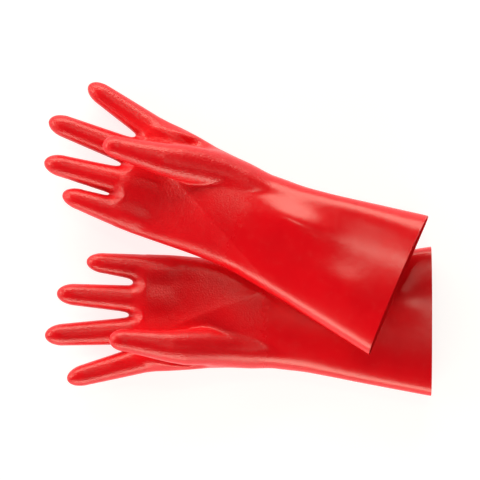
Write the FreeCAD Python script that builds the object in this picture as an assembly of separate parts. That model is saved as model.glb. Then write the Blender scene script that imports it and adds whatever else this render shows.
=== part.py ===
"""A pair of insulating gauntlet gloves: one left and one right glove of dipped rubber, lying palm up on a
table, the right cuff resting across the left one.

Row frame: millimetres, +Z up, the table is z = 0, the origin is the middle of the pair's footprint, and the
fingers of the left glove point to -X.

Each glove is laid out in its own glove frame, where a point is (along, side, height): along runs from the
cuff's edge to the fingertips, side is positive towards the thumb, and height runs from the back of the hand
towards the palm. Every section of the rubber is a closed skin with a hollow, one wall thinner. The skin is
divided where it bends: at the wrist, at the root of each finger and thumb, and halfway along each of them.
"""

import FreeCAD
import Part

import math
import os

Vector = FreeCAD.Vector

# ---- driving dimensions -------------------------------------------------------------------------------
WALL = 1.0  # rubber thickness
GLOVE_LENGTH = 360.0  # cuff edge to the tip of the middle finger
CUFF_LENGTH = 150.0  # cuff edge to the wrist bend
CUFF_WIDTH = 140.0  # flat width at the cuff's edge
KNUCKLE_LINE = 266.0  # where the four fingers leave the palm
FINGER_START = 256.0  # how far back the fingers' hollows reach into the palm
HINGE_GAP = 0.4  # clearance between two skins that bend against each other
POINTS = 18  # points around one section
DOME_ANGLES = (28.0, 50.0, 68.0, 82.0)  # degrees, the rings that close a rounded end
FINGER_DOME = 18.0  # depth of a fingertip's rounded end
OVERRUN = 3.0  # how far a hollow runs past an open end
FAR = 400.0  # size of the blocks that trim a skin to a plane

# Sections of the cuff and palm: along, side of the little-finger edge, side of the thumb edge, height of the
# palm side, height of the widest line, and how pointed the palm side is at its edges (1 is an ellipse).
SECTIONS = (
    (0.0, -CUFF_WIDTH / 2, CUFF_WIDTH / 2, 36.0, 12.0, 0.74),
    (45.0, -63.0, 61.5, 36.0, 12.5, 0.76),
    (90.0, -56.0, 53.0, 36.5, 13.0, 0.80),
    (CUFF_LENGTH, -50.4, 43.6, 38.0, 14.0, 0.90),
    (186.0, -52.0, 45.6, 38.5, 15.0, 0.92),
    (222.0, -55.5, 50.0, 34.5, 15.0, 0.88),
    (248.0, -57.8, 53.0, 30.0, 14.5, 0.85),
    (KNUCKLE_LINE, -58.3, 54.6, 28.5, 14.0, 0.75),
)
BACK_ROUNDNESS = 0.62  # 1 is an ellipse, less is flatter against the table

# Fingers: side at the knuckle line, reach of the tip, radius at the root and at the tip, and how far along
# the root bend and the middle bend lie.
FINGERS = {
    "index": {"side": 38.6, "reach": 340.0, "root": 12.2, "end": 9.7, "bends": (284.5, 309.0)},
    "middle": {"side": 13.2, "reach": GLOVE_LENGTH, "root": 12.8, "end": 10.2, "bends": (286.5, 315.0)},
    "ring": {"side": -14.2, "reach": 349.0, "root": 12.8, "end": 9.9, "bends": (286.0, 311.0)},
    "little": {"side": -44.0, "reach": 321.5, "root": 11.9, "end": 9.3, "bends": (281.5, 299.0)},
}
FINGER_FLATNESS = 0.95  # a finger's height over its width
FINGER_REST = 13.6  # height of a finger's centre line at its root
FINGER_RISE = 12.0  # how much higher the middle finger's tip is
RISE_POWER = 1.6
TAPER_POWER = 1.15

# Thumb: along, side, height, half width and half height of each section, then the reach of its tip.
THUMB = (
    (192.0, 26.0, 22.0, 15.0, 14.0),
    (210.0, 27.0, 32.0, 17.5, 15.0),
    (228.0, 26.0, 41.5, 16.8, 14.2),
    (243.0, 24.5, 47.5, 15.0, 13.0),
    (258.0, 22.5, 50.3, 13.2, 12.0),
    (272.0, 20.5, 51.4, 11.8, 11.2),
    (285.0, 18.8, 51.8, 10.3, 10.0),
)
THUMB_REACH = 299.5
THUMB_BENDS = (244.0, 270.0)
THUMB_SWING_SPAN = (188.0, 252.0)  # where a sideways swing of the thumb starts and is complete

# How far the bends go, in degrees.
ROOT_BEND = 50.0
MIDDLE_BEND = 45.0
THUMB_LIFT = 40.0
THUMB_CURL = 45.0
WRIST_BEND = 45.0

# What differs between the two gloves: the sign of side in the glove's own axes, how far the hand leans
# sideways from the cuff, the fan of its fingers in degrees, how far its thumb swings outwards, how much its
# cuff's edges droop, how deep its back is pressed flat by the table, and where and how it lies. turn, pitch
# and roll are degrees about its own Z, Y and X.
GLOVES = {
    "left": {
        "sign": 1.0,
        "lean": -5.0,
        "fan": {"index": 15.0, "middle": 3.0, "ring": -4.5, "little": -6.5},
        "thumb_swing": 2.8,
        "droop": 0.0,
        "flat": 0.8,
        "place": (180.3, -76.4, -0.8),
        "turn": 180.0,
        "pitch": 0.0,
        "roll": 0.0,
    },
    "right": {
        "sign": -1.0,
        "lean": 5.0,
        "fan": {"index": 11.5, "middle": -2.5, "ring": -9.0, "little": -4.0},
        "thumb_swing": -10.5,
        "droop": 8.0,
        "flat": 0.0,
        "place": (149.2, -43.0, 43.4),
        "turn": 157.2,
        "pitch": 7.9,
        "roll": 4.6,
    },
}
LEAN_FROM = 60.0  # the lean starts here and is complete at LEAN_TO
LEAN_TO = 250.0


# ---- glove-frame geometry -----------------------------------------------------------------------------
def smooth(x, low, high):
    """0 below low, 1 above high, and a smooth step between."""
    t = min(1.0, max(0.0, (x - low) / (high - low)))
    return t * t * (3.0 - 2.0 * t)


def local(glove, along, side, height):
    """A glove-frame point in the glove's own right-handed axes, with its lean and droop."""
    side += glove["lean"] * smooth(along, LEAN_FROM, LEAN_TO)
    edge = side / (CUFF_WIDTH / 2)
    height -= glove["droop"] * edge * edge * (1.0 - smooth(along, 0.0, CUFF_LENGTH))
    return Vector(along, glove["sign"] * side, height)


def shrunk(outline, wall):
    """A closed outline of (side, height) pairs moved inwards by wall. It runs anticlockwise."""
    moved = []
    for i, (side, height) in enumerate(outline):
        before = outline[i - 1]
        after = outline[(i + 1) % len(outline)]
        step = (after[0] - before[0], after[1] - before[1])
        length = math.hypot(*step)
        moved.append((side - wall * step[1] / length, height + wall * step[0] / length))
    return moved


def body_outline(low, high, top, edge, power):
    """One section of the cuff or palm as (side, height) pairs, flat towards the table."""
    middle, half = (low + high) / 2, (high - low) / 2
    outline = []
    for i in range(POINTS):
        turn = 2 * math.pi * (i + 0.5) / POINTS
        across, up = math.cos(turn), math.sin(turn)
        if up > 0:
            height = edge + (top - edge) * up**power
        else:
            height = edge - edge * (-up) ** BACK_ROUNDNESS
        outline.append((middle + half * across, height))
    return outline


def ring(points):
    """A closed smooth wire through the points."""
    curve = Part.BSplineCurve()
    curve.interpolate(Points=points, PeriodicFlag=True, Parameters=[i / POINTS for i in range(POINTS + 1)])
    return Part.Wire(curve.toShape())


def solid_through(wires):
    shape = Part.makeLoft(wires, True, False, False, 3)
    return shape if shape.Volume > 0 else shape.reversed()


def body_solid(glove, wall, start, stop):
    """The cuff and palm between two places along the glove, wall thinner than the outside all round."""
    wires = []
    stations = [s for s in SECTIONS if start < s[0] < stop]
    stations = [section_at(start)] + stations + [section_at(stop)]
    for along, low, high, top, edge, power in stations:
        outline = shrunk(body_outline(low, high, top, edge, power), wall)
        wires.append(ring([local(glove, along, s, h) for s, h in outline]))
    solid = solid_through(wires)
    if glove["flat"] > 0:
        solid = solid.common(beyond(Vector(0, 0, glove["flat"] + wall), Vector(0, 0, 1)))
    return solid


def section_at(along):
    """The section at any place along the glove, between the listed ones or beyond the first."""
    pairs = list(zip(SECTIONS, SECTIONS[1:]))
    for before, after in pairs:
        if along <= after[0] or after is SECTIONS[-1]:
            share = (along - before[0]) / (after[0] - before[0])
            return tuple(a + (b - a) * share for a, b in zip(before, after))


def finger_path(name, glove):
    """Centre and half sizes along a finger: (along, side, height, half width, half height) rows."""
    finger = FINGERS[name]
    slope = math.tan(math.radians(glove["fan"][name]))
    dome_start = finger["reach"] - FINGER_DOME
    rows = []
    steps = 6
    for i in range(steps + 1):
        along = FINGER_START + (dome_start - FINGER_START) * i / steps
        out = max(0.0, (along - KNUCKLE_LINE) / (GLOVE_LENGTH - KNUCKLE_LINE))
        share = max(0.0, (along - KNUCKLE_LINE) / (dome_start - KNUCKLE_LINE))
        radius = finger["root"] + (finger["end"] - finger["root"]) * share**TAPER_POWER
        side = finger["side"] + slope * (along - KNUCKLE_LINE)
        height = FINGER_REST + FINGER_RISE * out**RISE_POWER
        rows.append((along, side, height, radius, radius * FINGER_FLATNESS))
    return rows


def thumb_path(glove):
    """The thumb's rows, swung sideways from its root on."""
    rows = []
    for along, side, height, half_width, half_height in THUMB:
        side += glove["thumb_swing"] * smooth(along, *THUMB_SWING_SPAN)
        rows.append((along, side, height, half_width, half_height))
    return rows


def digit_path(name, glove):
    return thumb_path(glove) if name == "thumb" else finger_path(name, glove)


def frames(glove, path):
    """For each row of a path: centre, direction, sideways direction and palm direction, in glove axes."""
    centres = [local(glove, *row[:3]) for row in path]
    found = []
    for i, centre in enumerate(centres):
        ahead = centres[min(i + 1, len(centres) - 1)]
        behind = centres[max(i - 1, 0)]
        direction = (ahead - behind).normalize()
        across = Vector(0, 0, 1).cross(direction).normalize()
        palm = direction.cross(across)
        found.append((centre, direction, across, palm))
    return found


def tube_solid(glove, path, dome, wall):
    """A finger or thumb along its path, closed by a rounded tip and wall thinner than the outside."""
    wires = []
    placed = frames(glove, path)

    def loop(centre, across, palm, half_width, half_height):
        points = []
        for i in range(POINTS):
            turn = 2 * math.pi * i / POINTS
            sideways = across * (half_width * math.cos(turn))
            points.append(centre + sideways + palm * (half_height * math.sin(turn)))
        return ring(points)

    for row, (centre, direction, across, palm) in zip(path, placed):
        wires.append(loop(centre, across, palm, row[3] - wall, row[4] - wall))
    centre, direction, across, palm = placed[-1]
    for degrees in DOME_ANGLES:
        size = math.cos(math.radians(degrees))
        ahead = centre + direction * ((dome - wall) * math.sin(math.radians(degrees)))
        wires.append(loop(ahead, across, palm, (path[-1][3] - wall) * size, (path[-1][4] - wall) * size))
    return solid_through(wires)


def frame_at(glove, path, along):
    """Centre, directions and half sizes of a tube at one place along the glove."""
    placed = frames(glove, path)
    for i in range(len(path) - 1):
        if path[i][0] <= along <= path[i + 1][0]:
            share = (along - path[i][0]) / (path[i + 1][0] - path[i][0])
            row = [a + (b - a) * share for a, b in zip(path[i], path[i + 1])]
            centre = placed[i][0] + (placed[i + 1][0] - placed[i][0]) * share
            direction = (placed[i][1] * (1 - share) + placed[i + 1][1] * share).normalize()
            across = Vector(0, 0, 1).cross(direction).normalize()
            return centre, direction, across, direction.cross(across), row[3], row[4]
    raise ValueError("that place is not on the tube")


def beyond(point, direction):
    """A block that fills everything ahead of a plane."""
    block = Part.makeBox(2 * FAR, 2 * FAR, FAR, Vector(-FAR, -FAR, 0))
    block.Placement = FreeCAD.Placement(point, FreeCAD.Rotation(Vector(0, 0, 1), direction))
    return block


# ---- one glove ----------------------------------------------------------------------------------------
def digit_bends(name):
    return THUMB_BENDS if name == "thumb" else FINGERS[name]["bends"]


def make_digit(name, glove):
    """A finger or thumb: its base skin, its tip skin, and what joins the palm, outside and hollow."""
    path = digit_path(name, glove)
    dome = THUMB_REACH - THUMB[-1][0] if name == "thumb" else FINGER_DOME
    outside = tube_solid(glove, path, dome, 0.0)
    hollow = tube_solid(glove, path, dome, WALL)
    root, middle = (frame_at(glove, path, along) for along in digit_bends(name))
    half_gap = HINGE_GAP / 2
    skin = outside.cut(hollow)
    base = skin.common(beyond(root[0] + root[1] * half_gap, root[1]))
    base = base.cut(beyond(middle[0] - middle[1] * half_gap, middle[1]))
    tip = skin.common(beyond(middle[0] + middle[1] * half_gap, middle[1]))
    stub = outside.cut(beyond(root[0] - root[1] * half_gap, root[1]))
    if name != "thumb":
        stub = stub.common(beyond(Vector(KNUCKLE_LINE - WALL / 2, 0, 0), Vector(1, 0, 0)))
    stub_hollow = hollow.cut(beyond(root[0] + root[1] * OVERRUN, root[1]))
    return base, tip, stub, stub_hollow


def hinges_of(glove_name):
    """(name, parent, child, point, axis, degrees) of each bend, in the glove's own axes."""
    glove = GLOVES[glove_name]
    found = []
    for name in ["thumb", *FINGERS]:
        path = digit_path(name, glove)
        root, middle = (frame_at(glove, path, along) for along in digit_bends(name))
        hand = "right_hand" if glove_name == "right" else "left_glove"
        base, tip = f"{glove_name}_{name}_base", f"{glove_name}_{name}_tip"
        centre, direction, across, palm, half_width, half_height = root
        swing = THUMB_LIFT if name == "thumb" else ROOT_BEND
        found.append((base + "_bend", hand, base, centre + palm * half_height, direction.cross(palm), swing))
        centre, direction, across, palm, half_width, half_height = middle
        if name == "thumb":
            inwards = across * -glove["sign"]
            pivot = centre + inwards * half_width
            found.append((tip + "_bend", base, tip, pivot, direction.cross(inwards), THUMB_CURL))
        else:
            pivot = centre + palm * half_height
            found.append((tip + "_bend", base, tip, pivot, direction.cross(palm), MIDDLE_BEND))
    if glove_name == "right":
        along, low, high, top, edge, power = section_at(CUFF_LENGTH)
        point = local(glove, along, (low + high) / 2, top)
        found.append(("right_wrist_bend", "right_cuff", "right_hand", point, Vector(0, -1, 0), WRIST_BEND))
    return found


def placement_of(glove):
    """Where a glove lies: tilted about its own axes, then turned on the table, then moved."""
    spin = FreeCAD.Rotation(Vector(0, 0, 1), glove["turn"])
    spin = spin.multiply(FreeCAD.Rotation(Vector(0, 1, 0), glove["pitch"]))
    spin = spin.multiply(FreeCAD.Rotation(Vector(1, 0, 0), glove["roll"]))
    return FreeCAD.Placement(Vector(*glove["place"]), spin)


def make_glove(glove_name):
    """Every skin of one glove by node name, in the row frame."""
    glove = GLOVES[glove_name]
    wrist_gap = HINGE_GAP / 2 if glove_name == "right" else 0.0
    skins = {}
    palm = body_solid(glove, 0.0, CUFF_LENGTH + wrist_gap, KNUCKLE_LINE)
    hollows = [body_solid(glove, WALL, CUFF_LENGTH - OVERRUN, KNUCKLE_LINE - WALL)]
    stubs = []
    for name in ["thumb", *FINGERS]:
        base, tip, stub, stub_hollow = make_digit(name, glove)
        skins[f"{glove_name}_{name}_base"] = base
        skins[f"{glove_name}_{name}_tip"] = tip
        stubs.append(stub)
        hollows.append(stub_hollow)
    hand = palm
    for stub in stubs:
        hand = hand.fuse(stub)
    for hollow in hollows:
        hand = hand.cut(hollow)
    skins[f"{glove_name}_hand"] = hand
    cuff = body_solid(glove, 0.0, 0.0, CUFF_LENGTH - wrist_gap)
    skins[f"{glove_name}_cuff"] = cuff.cut(body_solid(glove, WALL, -OVERRUN, CUFF_LENGTH + OVERRUN))
    place = placement_of(glove)
    for shape in skins.values():
        shape.Placement = place.multiply(shape.Placement)
    return skins


def main():
    os.makedirs("parts", exist_ok=True)
    for glove_name in GLOVES:
        for node, shape in make_glove(glove_name).items():
            shape.exportStep(f"parts/{node}.step")
            box = shape.BoundBox
            low = f"{box.XMin:.1f} {box.YMin:.1f} {box.ZMin:.1f}"
            high = f"{box.XMax:.1f} {box.YMax:.1f} {box.ZMax:.1f}"
            solids = f"{len(shape.Solids)} solid, valid {shape.isValid()}, {shape.Volume / 1000:.2f} cm3"
            print(f"{node}: {solids}, from {low} to {high}")


main()
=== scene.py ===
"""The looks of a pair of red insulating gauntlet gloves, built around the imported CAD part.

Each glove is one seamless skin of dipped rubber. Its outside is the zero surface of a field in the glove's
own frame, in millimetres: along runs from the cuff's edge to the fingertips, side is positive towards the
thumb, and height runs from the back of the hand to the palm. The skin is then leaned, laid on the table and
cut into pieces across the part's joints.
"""

import math

import bpy
import numpy as np
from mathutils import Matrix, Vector


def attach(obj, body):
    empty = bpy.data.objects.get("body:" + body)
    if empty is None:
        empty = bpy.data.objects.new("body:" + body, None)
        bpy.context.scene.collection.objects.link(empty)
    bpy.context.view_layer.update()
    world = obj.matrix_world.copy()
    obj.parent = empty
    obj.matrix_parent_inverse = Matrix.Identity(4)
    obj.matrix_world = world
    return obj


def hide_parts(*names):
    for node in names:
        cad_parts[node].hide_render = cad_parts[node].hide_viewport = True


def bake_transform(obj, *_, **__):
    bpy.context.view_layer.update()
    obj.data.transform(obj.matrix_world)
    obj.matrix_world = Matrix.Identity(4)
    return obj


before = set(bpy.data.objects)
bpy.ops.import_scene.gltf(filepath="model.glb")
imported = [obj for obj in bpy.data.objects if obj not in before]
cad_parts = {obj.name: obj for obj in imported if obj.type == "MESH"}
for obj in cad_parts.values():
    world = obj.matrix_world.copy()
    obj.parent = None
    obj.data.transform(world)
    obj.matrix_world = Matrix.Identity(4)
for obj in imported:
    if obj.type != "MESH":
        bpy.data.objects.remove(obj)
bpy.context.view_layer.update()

# ---- the gloves' dimensions, in millimetres and degrees ----------------------------------------------------
WALL = 1.0
GLOVE_LENGTH = 360.0
KNUCKLE_LINE = 266.0
PALM_END = 13.0  # depth of the palm's rounded end between the fingers
PALM_LEAD = 2.0  # that rounding starts this far before the knuckle line
MM = 0.001  # a millimetre in metres

# The grid that the skin is found on: spacing, lowest corner, size and spare points.
CELL = 1.5
GRID_ORIGIN = (-6.0, -79.5, -4.5)
GRID_SIZE = (366.0, 159.0, 75.0)
GRID_SPARE = (5, 1, 1)
SLOPE_FLOOR = 0.004  # least slope, so that a flat part of the body's field gives no huge distance
# The skin's smoothing: rounds, share of the way to the mean, and pulls back to the surface in each round.
SMOOTHING_ROUNDS = 3
SMOOTHING_SHARE = 0.6
PULLS_BACK = 2
PULL_FLOOR = 1e-4

# Sections: along, little-finger edge, thumb edge, palm height, height of the widest line, edge sharpness.
SECTIONS = np.array(
    [
        (-20.0, -72.5, 73.0, 36.0, 12.0, 0.50),
        (0.0, -70.0, 70.0, 36.0, 12.0, 0.50),
        (45.0, -63.0, 61.5, 36.0, 12.5, 0.54),
        (90.0, -56.0, 53.0, 36.5, 13.0, 0.64),
        (150.0, -50.4, 43.4, 38.0, 14.0, 0.85),
        (186.0, -52.0, 45.4, 38.5, 15.0, 0.92),
        (222.0, -55.5, 49.8, 34.0, 15.0, 0.90),
        (248.0, -57.4, 51.8, 29.4, 14.5, 0.88),
        (266.0, -57.0, 51.9, 27.6, 14.0, 0.86),
        (290.0, -57.0, 51.9, 26.9, 14.0, 0.86),
    ]
)
BACK_ROUNDNESS = 0.62
TABLE_SPAN = (-20.0, 381.0)
SOFTEN_REACH = 18
SOFTEN_SPREAD = 7.0

# Fingers: side at the knuckle line, reach, radius at the root and at the tip, root bend and middle bend.
FINGERS = {
    "index": (39.5, 340.5, 13.0, 9.9, 284.5, 309.0),
    "middle": (13.2, 360.5, 13.2, 10.3, 286.5, 315.0),
    "ring": (-14.8, 349.5, 13.2, 10.2, 286.0, 311.0),
    "little": (-44.8, 322.0, 12.6, 9.6, 281.5, 299.0),
}
FINGER_START = 250.0
FINGER_DOME = 18.0
FINGER_FLATNESS = 0.95
FINGER_REST = 13.6
FINGER_RISE = 12.0
FINGER_RISE_POWER = 1.6
FINGER_TAPER_POWER = 1.15
FINGER_ROWS = 14
# The fillet between fingers and palm, which shrinks towards the palm's two edges.
FINGER_FILLET = 7.5
FINGER_FILLET_LOSS = 5.5
FINGER_FILLET_MIDDLE = -2.5
FINGER_FILLET_EDGE = (40.0, 50.0)

# Thumb rows: along, side, height, half width, half height.
THUMB = [
    (146.0, 31.5, 15.0, 7.0, 7.0),
    (168.0, 29.5, 21.0, 12.0, 12.0),
    (190.0, 27.5, 27.5, 15.5, 14.2),
    (210.0, 26.6, 34.0, 17.4, 14.8),
    (228.0, 26.0, 41.5, 16.9, 14.2),
    (243.0, 24.5, 47.5, 15.0, 13.0),
    (258.0, 22.5, 50.3, 13.2, 12.0),
    (272.0, 20.5, 51.4, 11.8, 11.2),
    (285.0, 18.8, 51.8, 10.3, 10.0),
]
THUMB_REACH = 299.5
THUMB_BENDS = (244.0, 270.0)
THUMB_SWING_SPAN = (188.0, 252.0)
# The fillet between thumb and palm, wider on the thumb's outer side and where the thumb is still buried.
THUMB_FILLET = 3.0
THUMB_FILLET_OUTER = 10.0
THUMB_FILLET_BURIED = 5.0
THUMB_OUTER_SPAN = (14.0, 36.0)
THUMB_CLEAR_SPAN = (200.0, 224.0)
THUMB_BURIED_SPAN = (160.0, 195.0)

# Where the pieces are cut: digits only past a line, a little before the root bend, and a share of the way on.
DIGITS_START = 236.0
BASE_LEAD = 3.0
TIP_SHARE = 0.58

# The palm's hollow starts at a line that runs from beside the thumb to the wrist's little-finger side.
HEEL_LINE = ((228.0, 4.0), (168.0, -22.0))
HOLLOW_DEPTH = 3.6
HOLLOW_RUN_IN = 11.0
HOLLOW_FADE = (228.0, 268.0)
HOLLOW_MIDDLE = -4.0
HOLLOW_EDGE = (26.0, 50.0)

# The web between thumb and index finger: a groove beside the thumb, with a ridge along the palm's edge.
WEB_SPAN = (218.0, 230.0, 262.0, 276.0)
WEB_GROOVE_DEPTH = 5.0
WEB_RIDGE_HEIGHT = 2.5
WEB_LINE = ((228.0, 266.0), (39.0, 34.0))  # along, and the groove's side there
WEB_GROOVE_WIDTH = 4.5
WEB_RIDGE_OFFSET = 8.5
WEB_RIDGE_WIDTH = 4.0
# The rolled rims behind the three finger crotches: along, side.
CROTCHES = ((277.0, 26.5), (276.0, -0.5), (273.0, -29.5))
RIM_RADIUS = 7.5
RIM_HEIGHT = 0.9
RIM_WIDTH = 2.2
RIM_END = 4.0  # the rims stop this far past the crotch

# From a glove's frame to the table: where the lean builds up, where the droop fades, and the probe's step.
LEAN_SPAN = (60.0, 250.0)
DROOP_SPAN = (0.0, 150.0)
HALF_CUFF = 70.0
PROBE = 0.05
STEEP_NORMAL = 0.7

# Per glove: sign is which way the thumb points, fan is each finger's angle, bulges are along, side, rise and
# the two spreads, and turn, pitch and roll are the angles it lies at.

GLOVES = {
    "left": {
        "sign": 1.0,
        "lean": -5.0,
        "hand_start": 150.0,
        "fan": {"index": 15.0, "middle": 3.0, "ring": -4.5, "little": -6.5},
        "thumb_swing": 2.8,
        "bulges": [(24.0, -22.0, 3.0, 26.0, 20.0)],
        "droop": 0.0,
        "place": (180.3, -76.4, -0.8),
        "turn": 180.0,
        "pitch": 0.0,
        "roll": 0.0,
    },
    "right": {
        "sign": -1.0,
        "lean": 5.0,
        "hand_start": 118.0,
        "fan": {"index": 11.5, "middle": -2.5, "ring": -9.0, "little": -4.0},
        "thumb_swing": -10.5,
        "bulges": [
            (108.0, 13.0, 5.5, 32.0, 13.0),
            (44.0, -26.0, 3.0, 30.0, 18.0),
            (50.0, 52.0, 2.0, 60.0, 14.0),
        ],
        "droop": 8.0,
        "place": (149.2, -43.0, 43.4),
        "turn": 157.2,
        "pitch": 7.9,
        "roll": 4.6,
    },
}


# ---- the field ---------------------------------------------------------------------------------------------
def smooth_step(x, low, high):
    t = np.clip((x - low) / (high - low), 0.0, 1.0)
    return t * t * (3.0 - 2.0 * t)


def smooth_join(a, b, radius):
    """The union of two fields with a fillet."""
    h = np.maximum(radius - np.abs(a - b), 0.0) / radius
    return np.minimum(a, b) - h * h * radius * 0.25


def section_table():
    """The sections at every millimetre, softened so that no kink shows between the listed ones."""
    along = np.arange(*TABLE_SPAN)
    weights = np.exp(-0.5 * (np.arange(-SOFTEN_REACH, SOFTEN_REACH + 1) / SOFTEN_SPREAD) ** 2)
    weights /= weights.sum()
    columns = [along]
    for column in range(1, SECTIONS.shape[1]):
        values = np.interp(along, SECTIONS[:, 0], SECTIONS[:, column])
        before, after = np.full(SOFTEN_REACH, values[0]), np.full(SOFTEN_REACH, values[-1])
        padded = np.concatenate([before, values, after])
        columns.append(np.convolve(padded, weights, "valid"))
    return columns


TABLE = section_table()


def heel_distance(along, side):
    """Distance to the finger side of the heel line."""
    (u0, v0), (u1, v1) = HEEL_LINE
    length = math.hypot(u1 - u0, v1 - v0)
    return ((u1 - u0) * (side - v0) - (v1 - v0) * (along - u0)) / length


def relief(along, side):
    """How much the palm side is raised; negative in the hollow of the palm."""
    away = heel_distance(along, side)
    hollow = 1.0 - np.exp(-np.maximum(away, 0.0) / HOLLOW_RUN_IN)
    fade = 1.0 - smooth_step(along, *HOLLOW_FADE)
    edge = 1.0 - smooth_step(np.abs(side - HOLLOW_MIDDLE), *HOLLOW_EDGE)
    return -HOLLOW_DEPTH * hollow * fade * edge


def bump(x, middle, spread):
    return np.exp(-(((x - middle) / spread) ** 2))


def swell(along, side, glove):
    """How far the palm side stands up or down from its section: the web, the crotch rims and the bulges."""
    window = smooth_step(along, *WEB_SPAN[:2]) * (1.0 - smooth_step(along, *WEB_SPAN[2:]))
    line = np.interp(along, *WEB_LINE)
    raised = -WEB_GROOVE_DEPTH * window * bump(side, line, WEB_GROOVE_WIDTH)
    raised = raised + WEB_RIDGE_HEIGHT * window * bump(side, line + WEB_RIDGE_OFFSET, WEB_RIDGE_WIDTH)
    for crotch_along, crotch_side in CROTCHES:
        reach = np.hypot(along - crotch_along, side - crotch_side)
        behind = along < crotch_along + RIM_END
        raised = raised + RIM_HEIGHT * bump(reach, RIM_RADIUS, RIM_WIDTH) * behind
    for middle_along, middle_side, rise, spread_along, spread_side in glove["bulges"]:
        rounded = rise * bump(along, middle_along, spread_along)
        raised = raised + rounded * bump(side, middle_side, spread_side)
    return raised


def body_field(p, glove):
    """The cuff and palm: negative inside, and not yet a distance."""
    along, side, height = p[..., 0], p[..., 1], p[..., 2]
    low, high, top, edge, power = (np.interp(along, TABLE[0], column) for column in TABLE[1:])
    top = top + relief(along, side)
    x = (side - (low + high) / 2) / ((high - low) / 2)
    lifted = height - swell(along, side, glove)
    up = np.clip((lifted - edge) / (top - edge), 0.0, None) ** (1.0 / power)
    down = np.clip((edge - height) / edge, 0.0, None) ** (1.0 / BACK_ROUNDNESS)
    ahead = np.maximum(along - KNUCKLE_LINE + PALM_LEAD, 0.0) / PALM_END
    return np.sqrt(x * x + (up + down) ** 2 + ahead**2) - 1.0


def tube_frame(rows):
    """The rows, their start, three axes (ahead, across, palm) and how far ahead each row is."""
    rows = np.array(rows)
    start = rows[0, :3]
    chord = rows[-1, :3] - start
    ahead = chord / np.linalg.norm(chord)
    across = np.cross((0.0, 0.0, 1.0), ahead)
    across /= np.linalg.norm(across)
    return rows, start, ahead, across, np.cross(ahead, across), (rows[:, :3] - start) @ ahead


def tube_field(p, rows, dome):
    """A tapering tube of elliptical section along its rows, with a rounded tip, as a near-distance."""
    rows, start, ahead, across, palm, reach = tube_frame(rows)
    run = (p - start) @ ahead
    held = np.clip(run, reach[0], reach[-1])
    centre = np.stack([np.interp(held, reach, rows[:, k]) for k in range(3)], axis=-1)
    offset = p - centre
    wide = np.interp(held, reach, rows[:, 3])
    tall = np.interp(held, reach, rows[:, 4])
    over = np.maximum(run - reach[-1], 0.0) / dome + np.maximum(reach[0] - run, 0.0) / dome
    x = offset @ across / wide
    y = offset @ palm / tall
    return (np.sqrt(x * x + y * y + over * over) - 1.0) * np.minimum(wide, tall)


def finger_rows(name, glove):
    side, reach, root, end, _, _ = FINGERS[name]
    slope = math.tan(math.radians(glove["fan"][name]))
    last = reach - FINGER_DOME
    rows = []
    for along in np.linspace(FINGER_START, last, FINGER_ROWS):
        out = max(0.0, (along - KNUCKLE_LINE) / (GLOVE_LENGTH - KNUCKLE_LINE))
        share = max(0.0, (along - KNUCKLE_LINE) / (last - KNUCKLE_LINE))
        radius = root + (end - root) * share**FINGER_TAPER_POWER
        height = FINGER_REST + FINGER_RISE * out**FINGER_RISE_POWER
        rows.append((along, side + slope * (along - KNUCKLE_LINE), height, radius, radius * FINGER_FLATNESS))
    return rows


def thumb_rows(glove):
    rows = []
    for along, side, height, wide, tall in THUMB:
        swing = glove["thumb_swing"] * float(smooth_step(along, *THUMB_SWING_SPAN))
        rows.append((along, side + swing, height, wide, tall))
    return rows


def digit_rows(name, glove):
    return thumb_rows(glove) if name == "thumb" else finger_rows(name, glove)


def digit_dome(name):
    return THUMB_REACH - THUMB[-1][0] if name == "thumb" else FINGER_DOME


def digit_bends(name):
    return THUMB_BENDS if name == "thumb" else FINGERS[name][4:6]


def glove_field(grid, glove):
    """The whole glove's field on the grid, near-distances close to the surface."""
    body = body_field(grid, glove)
    slopes = np.gradient(body, CELL)
    steep = np.sqrt(sum(s * s for s in slopes))
    hand = body / np.maximum(steep, SLOPE_FLOOR)
    along, side = grid[..., 0], grid[..., 1]
    near_edge = smooth_step(np.abs(side - FINGER_FILLET_MIDDLE), *FINGER_FILLET_EDGE)
    fillet = FINGER_FILLET - FINGER_FILLET_LOSS * near_edge
    for name in FINGERS:
        hand = smooth_join(hand, tube_field(grid, digit_rows(name, glove), FINGER_DOME), fillet)
    thumb = tube_field(grid, digit_rows("thumb", glove), digit_dome("thumb"))
    outer = smooth_step(side, *THUMB_OUTER_SPAN)
    clear = smooth_step(along, *THUMB_CLEAR_SPAN)
    buried = 1.0 - smooth_step(along, *THUMB_BURIED_SPAN)
    join = THUMB_FILLET + THUMB_FILLET_OUTER * outer * (1.0 - clear) + THUMB_FILLET_BURIED * buried
    return smooth_join(hand, thumb, join)


# ---- from the field to a skin ------------------------------------------------------------------------------
CORNERS = np.array([(i, j, k) for i in (0, 1) for j in (0, 1) for k in (0, 1)])
EDGES = [(a, b) for a in range(8) for b in range(a + 1, 8) if np.abs(CORNERS[a] - CORNERS[b]).sum() == 1]


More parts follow.
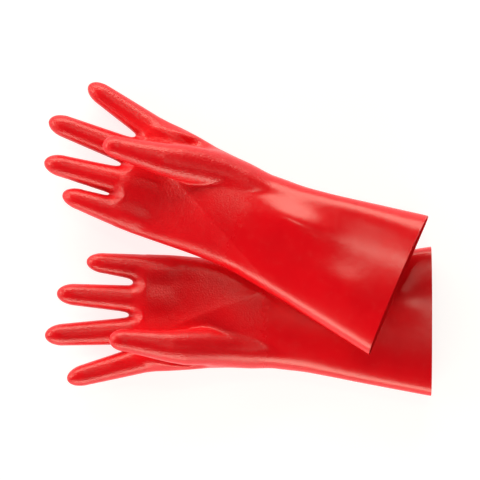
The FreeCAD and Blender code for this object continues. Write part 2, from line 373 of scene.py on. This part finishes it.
def surface_of(values, origin):
    """Vertices and outward quads of the zero surface of a field on a grid."""
    nx, ny, nz = values.shape
    inside = values < 0
    cells = np.zeros((nx - 1, ny - 1, nz - 1), np.int8)
    for i, j, k in CORNERS:
        cells += inside[i : nx - 1 + i, j : ny - 1 + j, k : nz - 1 + k]
    active = np.argwhere((cells > 0) & (cells < 8))
    number = np.full(cells.shape, -1, np.int64)
    number[tuple(active.T)] = np.arange(len(active))
    at = [values[tuple((active + corner).T)] for corner in CORNERS]
    total = np.zeros((len(active), 3))
    count = np.zeros(len(active))
    for a, b in EDGES:
        crossed = (at[a] < 0) != (at[b] < 0)
        share = np.where(crossed, at[a] / np.where(crossed, at[a] - at[b], 1.0), 0.0)
        total += crossed[:, None] * (CORNERS[a] + share[:, None] * (CORNERS[b] - CORNERS[a]))
        count += crossed
    points = origin + (active + total / count[:, None]) * CELL
    quads = []
    for axis in range(3):
        one, two = (axis + 1) % 3, (axis + 2) % 3
        ahead = np.zeros(3, int)
        ahead[axis] = 1
        size = np.array(values.shape) - ahead
        here = inside[: size[0], : size[1], : size[2]]
        there = inside[ahead[0] :, ahead[1] :, ahead[2] :]
        at_edge = np.argwhere(here != there)
        at_edge = at_edge[(at_edge[:, one] > 0) & (at_edge[:, two] > 0)]
        below = (at_edge[:, one] < values.shape[one] - 1) & (at_edge[:, two] < values.shape[two] - 1)
        at_edge = at_edge[below]
        ring = []
        for step_one, step_two in ((-1, -1), (0, -1), (0, 0), (-1, 0)):
            cell = at_edge.copy()
            cell[:, one] += step_one
            cell[:, two] += step_two
            ring.append(number[tuple(cell.T)])
        ring = np.stack(ring, axis=1)
        leaving = inside[tuple(at_edge.T)]
        ring[~leaving] = ring[~leaving][:, ::-1]
        quads.append(ring)
    return points, np.concatenate(quads), active[:, 0]


def sampled(values, origin, points):
    """Trilinear values of a gridded field at points."""
    spot = (points - origin) / CELL
    low = np.clip(np.floor(spot).astype(int), 0, np.array(values.shape[:3]) - 2)
    part = spot - low
    found = 0.0
    for corner in CORNERS:
        weight = np.prod(np.where(corner == 1, part, 1.0 - part), axis=1)
        value = values[tuple((low + corner).T)]
        found = found + (weight[:, None] * value if value.ndim == 2 else weight * value)
    return found


def averaged(points, quads):
    """Each vertex moved to the mean of its neighbours along the quads' edges."""
    total = np.zeros_like(points)
    count = np.zeros(len(points))
    for a in range(4):
        for b in ((a + 1) % 4, (a + 3) % 4):
            np.add.at(total, quads[:, a], points[quads[:, b]])
            np.add.at(count, quads[:, a], 1)
    return total / np.maximum(count, 1)[:, None]


def skin_of(glove):
    """The outside of one glove before it is leaned and laid: vertices, unit normals and quads."""
    origin = np.array(GRID_ORIGIN)
    counts = [int(size / CELL) + spare for size, spare in zip(GRID_SIZE, GRID_SPARE)]
    axes = [origin[k] + CELL * np.arange(counts[k]) for k in range(3)]
    grid = np.stack(np.meshgrid(*axes, indexing="ij"), axis=-1)
    values = glove_field(grid, glove)
    slopes = np.stack(np.gradient(values, CELL), axis=-1)
    points, quads, layer = surface_of(values, origin)
    first = int(round(-origin[0] / CELL))
    for _ in range(SMOOTHING_ROUNDS):
        moved = averaged(points, quads)
        moved[:, 0] = np.where(layer <= first, points[:, 0], moved[:, 0])
        points = points + SMOOTHING_SHARE * (moved - points)
        for _ in range(PULLS_BACK):
            slope = sampled(slopes, origin, points)
            size = np.maximum((slope * slope).sum(1), PULL_FLOOR)
            points -= slope * (sampled(values, origin, points) / size)[:, None]
    points[layer == first, 0] = 0.0
    normals = sampled(slopes, origin, points)
    normals /= np.linalg.norm(normals, axis=1)[:, None]
    quads = quads[(layer[quads] >= first).all(axis=1)]
    return points, normals, quads


def boundary_of(quads):
    """The directed edges that only one quad uses."""
    edges = np.concatenate([quads[:, [a, (a + 1) % 4]] for a in range(4)])
    keys = np.sort(edges, axis=1)
    _, first, uses = np.unique(keys, axis=0, return_index=True, return_counts=True)
    return edges[first[uses == 1]]


def shell_of(glove):
    """Outside, inside and the cut edge of the cuff as one mesh."""
    points, normals, quads = skin_of(glove)
    count = len(points)
    inner = points - normals * WALL
    rim = boundary_of(quads)
    used, place = np.unique(rim, return_inverse=True)
    place = place.reshape(rim.shape)
    inner[used, 0] = 0.0
    shape = np.concatenate([points, inner, points[used], inner[used]])
    facing = np.concatenate([normals, -normals, np.tile((-1.0, 0.0, 0.0), (2 * len(used), 1))])
    a, b = place[:, 0] + 2 * count, place[:, 1] + 2 * count
    edge_quads = np.stack([b, a, a + len(used), b + len(used)], axis=1)
    return shape, facing, np.concatenate([quads, quads[:, ::-1] + count, edge_quads])


# ---- from the glove's frame to the table -------------------------------------------------------------------
def turned(glove):
    """The rotation that lays a glove on the table."""
    z, y, x = (math.radians(glove[key]) for key in ("turn", "pitch", "roll"))
    about_z = np.array([(math.cos(z), -math.sin(z), 0), (math.sin(z), math.cos(z), 0), (0, 0, 1)])
    about_y = np.array([(math.cos(y), 0, math.sin(y)), (0, 1, 0), (-math.sin(y), 0, math.cos(y))])
    about_x = np.array([(1, 0, 0), (0, math.cos(x), -math.sin(x)), (0, math.sin(x), math.cos(x))])
    return about_z @ about_y @ about_x


def laid(glove, points):
    """Glove-frame points, in millimetres, as row-frame points in metres."""
    own = np.array(points, float).reshape(-1, 3)
    side = own[:, 1] + glove["lean"] * smooth_step(own[:, 0], *LEAN_SPAN)
    edge = side / HALF_CUFF
    height = own[:, 2] - glove["droop"] * edge * edge * (1.0 - smooth_step(own[:, 0], *DROOP_SPAN))
    own = np.stack([own[:, 0], glove["sign"] * side, height], axis=1)
    return (own @ turned(glove).T + np.array(glove["place"])) * MM


def laid_normals(glove, points, normals):
    """Normals carried along by laid(), from two directions across each normal."""
    helper = np.where(np.abs(normals[:, :1]) < STEEP_NORMAL, (1.0, 0.0, 0.0), (0.0, 1.0, 0.0))
    first = np.cross(normals, helper)
    first /= np.linalg.norm(first, axis=1)[:, None]
    second = np.cross(normals, first)
    here = laid(glove, points)
    found = np.cross(laid(glove, points + first * PROBE) - here, laid(glove, points + second * PROBE) - here)
    found /= np.linalg.norm(found, axis=1)[:, None]
    return found * glove["sign"]


# ---- pieces ------------------------------------------------------------------------------------------------
def digit_share(name, glove, points):
    """How near each point is to a digit, how far along it that is, and how far along its two bends are."""
    rows, start, ahead, _, _, reach = tube_frame(digit_rows(name, glove))
    run = (points - start) @ ahead
    bends = [np.interp(b, rows[:, 0], reach) for b in digit_bends(name)]
    return tube_field(points, rows, digit_dome(name)), run, bends


def zones_of(glove, points):
    """The piece each vertex belongs to: 0 the cuff, 1 the hand, then the base and tip of each digit."""
    zone = np.where(points[:, 0] > glove["hand_start"], 1, 0)
    shares = [digit_share(name, glove, points) for name in DIGITS]
    nearest = np.argmin(np.stack([share[0] for share in shares]), axis=0)
    for number, (_, run, (root, middle)) in enumerate(shares):
        mine = (nearest == number) & (points[:, 0] > DIGITS_START)
        zone = np.where(mine & (run > root - BASE_LEAD), 2 + 2 * number, zone)
        zone = np.where(mine & (run > root + TIP_SHARE * (middle - root)), 3 + 2 * number, zone)
    return zone


DIGITS = ["thumb", *FINGERS]
PIECES = ["cuff", "hand"] + [f"{digit}_{part}" for digit in DIGITS for part in ("base", "tip")]


def mesh_object(name, points, normals, quads, rest, material):
    used, place = np.unique(quads, return_inverse=True)
    place = place.reshape(quads.shape)
    mesh = bpy.data.meshes.new(name)
    mesh.from_pydata(points[used].tolist(), [], place.tolist())
    mesh.polygons.foreach_set("use_smooth", np.ones(len(quads), bool))
    made = mesh.attributes.new("glove_frame", "FLOAT_VECTOR", "POINT")
    made.data.foreach_set("vector", (rest[used] * MM).astype(np.float32).ravel())
    mesh.normals_split_custom_set_from_vertices(normals[used].tolist())
    mesh.materials.append(material)
    mesh.update()
    piece = bpy.data.objects.new(name, mesh)
    bpy.context.scene.collection.objects.link(piece)
    return piece


def point_on(glove, rows, along_run):
    """A row-frame point on a digit's centre line."""
    rows, _, ahead, _, _, reach = tube_frame(rows)
    held = [np.interp(along_run, reach, rows[:, k]) for k in range(3)]
    over = max(0.0, along_run - reach[-1])
    return Vector(laid(glove, np.array(held) + ahead * over)[0])


def bend_digit(pieces, glove_name, glove, digit):
    """Bakes a digit's two pieces in place; the bend points worked out here are not used. Bare numbers are
    millimetres or shares of the gap.
    """
    hand = "left_glove" if glove_name == "left" else "right_hand"
    base, tip = f"{glove_name}_{digit}_base", f"{glove_name}_{digit}_tip"
    rows, _, _, _, _, reach = tube_frame(digit_rows(digit, glove))
    root, middle = (np.interp(b, rows[:, 0], reach) for b in digit_bends(digit))
    gap = middle - root
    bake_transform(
        pieces[base],
        hand,
        base,
        start=point_on(glove, rows, root - 2.0),
        end=point_on(glove, rows, root + 0.5 * gap),
    )
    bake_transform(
        pieces[tip],
        base,
        tip,
        start=point_on(glove, rows, middle - 0.34 * gap),
        end=point_on(glove, rows, middle + 8.0),
    )


def make_glove(glove_name, material):
    glove = GLOVES[glove_name]
    shape, facing, quads = shell_of(glove)
    normals = laid_normals(glove, shape, facing)
    placed = laid(glove, shape)
    if glove["sign"] < 0:
        quads = quads[:, ::-1]
    zone = zones_of(glove, shape)[quads].min(axis=1)
    pieces = {}
    for number, name in enumerate(PIECES):
        full = f"{glove_name}_{name}"
        pieces[full] = mesh_object(full + "_skin", placed, normals, quads[zone == number], shape, material)
        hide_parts(full)
    if glove_name == "left":
        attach(pieces["left_cuff"], "left_glove")
        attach(pieces["left_hand"], "left_glove")
    else:
        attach(pieces["right_cuff"], "right_cuff")
        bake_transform(pieces["right_hand"])
    for digit in DIGITS:
        bend_digit(pieces, glove_name, glove, digit)


# ---- material ----------------------------------------------------------------------------------------------
# Metres along the glove: the smooth gauntlet turns into the grained hand, and a faint line marks the change.
GRAIN_SPAN = (0.1490, 0.1660)
CHANGE_LINE = 0.1525
CHANGE_LINE_SPAN = (0.0002, 0.0011)
CHANGE_LINE_SHARE = 0.06
DEEP_RED = (0.74, 0.0026, 0.0085, 1.0)
BRIGHT_RED = (0.80, 0.0034, 0.0095, 1.0)
BLOOM_RED = (0.80, 0.10, 0.09, 1.0)
CHANGE_LINE_RED = (0.8, 0.05, 0.04, 1.0)
BLOOM_SHARE = 0.06
ROUGHNESS = (0.22, 0.27)
GRAIN_ROUGHNESS = 0.07
PEBBLE_DEPTH = -0.9
FINE_DEPTH = 0.10


class Nodes:
    """Short calls for building one material's nodes."""

    def __init__(self, tree):
        self.tree = tree
        tree.nodes.clear()

    def add(self, kind, inputs=None, **settings):
        node = self.tree.nodes.new(kind)
        for key, value in settings.items():
            setattr(node, key, value)
        for key, value in (inputs or {}).items():
            if isinstance(value, bpy.types.NodeSocket):
                self.tree.links.new(value, node.inputs[key])
            else:
                node.inputs[key].default_value = value
        return node

    def math(self, operation, *values):
        return self.add("ShaderNodeMath", dict(enumerate(values)), operation=operation).outputs[0]

    def span(self, value, low, high, out_low, out_high):
        inputs = {"Value": value, "From Min": low, "From Max": high, "To Min": out_low, "To Max": out_high}
        return self.add("ShaderNodeMapRange", inputs, interpolation_type="SMOOTHSTEP").outputs["Result"]

    def mix_colour(self, share, one, two):
        node = self.add("ShaderNodeMix", data_type="RGBA")
        for socket, value in ((0, share), (6, one), (7, two)):
            if isinstance(value, bpy.types.NodeSocket):
                self.tree.links.new(value, node.inputs[socket])
            else:
                node.inputs[socket].default_value = value
        return node.outputs[2]


def red_rubber():
    material = bpy.data.materials.new("red_dipped_rubber")
    material.use_nodes = True
    nodes = Nodes(material.node_tree)
    place = nodes.add("ShaderNodeAttribute", attribute_name="glove_frame").outputs["Vector"]
    along = nodes.add("ShaderNodeSeparateXYZ", {"Vector": place}).outputs["X"]
    grained = nodes.span(along, *GRAIN_SPAN, 0.0, 1.0)
    line = nodes.math("ABSOLUTE", nodes.math("SUBTRACT", along, CHANGE_LINE))
    change = nodes.span(line, *CHANGE_LINE_SPAN, 1.0, 0.0)

    broad = nodes.add("ShaderNodeTexNoise", {"Vector": place, "Scale": 22.0, "Detail": 3.0})
    cloudy = nodes.add(
        "ShaderNodeTexNoise", {"Vector": place, "Scale": 160.0, "Detail": 4.0, "Roughness": 0.6}
    )
    pebbles = nodes.add("ShaderNodeTexVoronoi", {"Vector": place, "Scale": 640.0, "Randomness": 0.8})
    pebbles.feature = "SMOOTH_F1"
    pebbles.inputs["Smoothness"].default_value = 0.6
    fine = nodes.add("ShaderNodeTexNoise", {"Vector": place, "Scale": 1500.0, "Detail": 2.0})

    share = nodes.span(broad.outputs["Fac"], 0.35, 0.65, 0.0, 1.0)
    colour = nodes.mix_colour(share, DEEP_RED, BRIGHT_RED)
    bloom = nodes.span(cloudy.outputs["Fac"], 0.52, 0.78, 0.0, BLOOM_SHARE)
    colour = nodes.mix_colour(bloom, colour, BLOOM_RED)
    colour = nodes.mix_colour(nodes.math("MULTIPLY", change, CHANGE_LINE_SHARE), colour, CHANGE_LINE_RED)

    rough = nodes.span(cloudy.outputs["Fac"], 0.3, 0.7, *ROUGHNESS)
    rough = nodes.math("ADD", rough, nodes.math("MULTIPLY", grained, GRAIN_ROUGHNESS))

    depth = nodes.math("MULTIPLY", grained, PEBBLE_DEPTH)
    bumps = nodes.math("MULTIPLY", pebbles.outputs["Distance"], depth)
    bumps = nodes.math("ADD", bumps, nodes.math("MULTIPLY", fine.outputs["Fac"], FINE_DEPTH))
    grain = nodes.add("ShaderNodeBump", {"Strength": 0.45, "Distance": 0.0005, "Height": bumps})
    waves = nodes.add(
        "ShaderNodeBump",
        {
            "Strength": 0.10,
            "Distance": 0.0010,
            "Height": cloudy.outputs["Fac"],
            "Normal": grain.outputs["Normal"],
        },
    )
    shader = nodes.add(
        "ShaderNodeBsdfPrincipled",
        {"Base Color": colour, "Roughness": rough, "Normal": waves.outputs["Normal"], "IOR": 1.5},
    )
    nodes.add("ShaderNodeOutputMaterial", {"Surface": shader.outputs[0]})
    return material


# ---- floor, light and camera -------------------------------------------------------------------------------
SOFTBOX_COLOUR = (1.0, 0.97, 0.78)
SOFTBOXES = (  # name, place, aim, width, height, power
    ("top_side", (-0.35, 1.60, 0.72), (0.0, 0.0, 0.0), 2.4, 0.8, 33.0),
    ("high_side", (0.0, 0.62, 1.35), (0.0, 0.0, 0.0), 0.30, 0.12, 1.6),
    ("high_right", (0.45, -0.10, 1.50), (0.05, -0.05, 0.0), 0.3, 0.3, 1.2),
    ("bottom_side", (-0.2, -1.65, 0.60), (0.0, 0.0, 0.0), 2.4, 0.7, 28.0),
    ("left_side", (-1.7, 0.35, 0.70), (0.0, 0.0, 0.0), 1.0, 0.5, 11.0),
)
# The camera looks straight down; the width it takes in is measured a little above the table.
CAMERA_PLACE = (0.0019, -0.0004, 3.04)
SENSOR_WIDTH = 36.0
VIEW_WIDTH = 0.4449
VIEW_HEIGHT = 0.04


def plain_floor():
    bpy.ops.mesh.primitive_plane_add(size=12.0, location=(0.0, 0.0, -0.0006))
    floor = bpy.context.object
    floor.name = "floor"
    material = bpy.data.materials.new("pale_floor")
    material.use_nodes = True
    shader = material.node_tree.nodes["Principled BSDF"]
    shader.inputs["Base Color"].default_value = (0.36, 0.36, 0.36, 1.0)
    shader.inputs["Emission Color"].default_value = (1.0, 1.0, 1.0, 1.0)
    shader.inputs["Emission Strength"].default_value = 0.80
    shader.inputs["Roughness"].default_value = 0.9
    shader.inputs["Specular IOR Level"].default_value = 0.1
    floor.data.materials.append(material)


def softbox(name, place, aim, width, height, power):
    data = bpy.data.lights.new(name, "AREA")
    data.shape = "RECTANGLE"
    data.size, data.size_y, data.energy = width, height, power
    data.color = SOFTBOX_COLOUR
    lamp = bpy.data.objects.new(name, data)
    lamp.location = place
    direction = Vector(aim) - Vector(place)
    lamp.rotation_euler = direction.to_track_quat("-Z", "Y").to_euler()
    bpy.context.scene.collection.objects.link(lamp)


def studio():
    world = bpy.data.worlds.new("studio")
    bpy.context.scene.world = world
    world.use_nodes = True
    nodes = Nodes(world.node_tree)
    place = nodes.add("ShaderNodeTexCoord").outputs["Generated"]
    up = nodes.add("ShaderNodeSeparateXYZ", {"Vector": place}).outputs["Z"]
    level = nodes.span(up, 0.10, 0.60, 0.9, 0.0)
    background = nodes.add("ShaderNodeBackground", {"Color": (1.0, 0.96, 0.90, 1.0), "Strength": level})
    nodes.add("ShaderNodeOutputWorld", {"Surface": background.outputs[0]})
    for box in SOFTBOXES:
        softbox(*box)


def camera():
    data = bpy.data.cameras.new("camera")
    data.sensor_width = SENSOR_WIDTH
    data.lens = SENSOR_WIDTH * (CAMERA_PLACE[2] - VIEW_HEIGHT) / VIEW_WIDTH
    data.clip_end = 20.0
    made = bpy.data.objects.new("camera", data)
    made.location = CAMERA_PLACE
    made.rotation_euler = (0.0, 0.0, 0.0)
    bpy.context.scene.collection.objects.link(made)
    bpy.context.scene.camera = made
    bpy.context.scene.view_settings.view_transform = "Standard"


rubber = red_rubber()
for glove_name in GLOVES:
    make_glove(glove_name, rubber)
plain_floor()
studio()
camera()
bpy.context.view_layer.update()
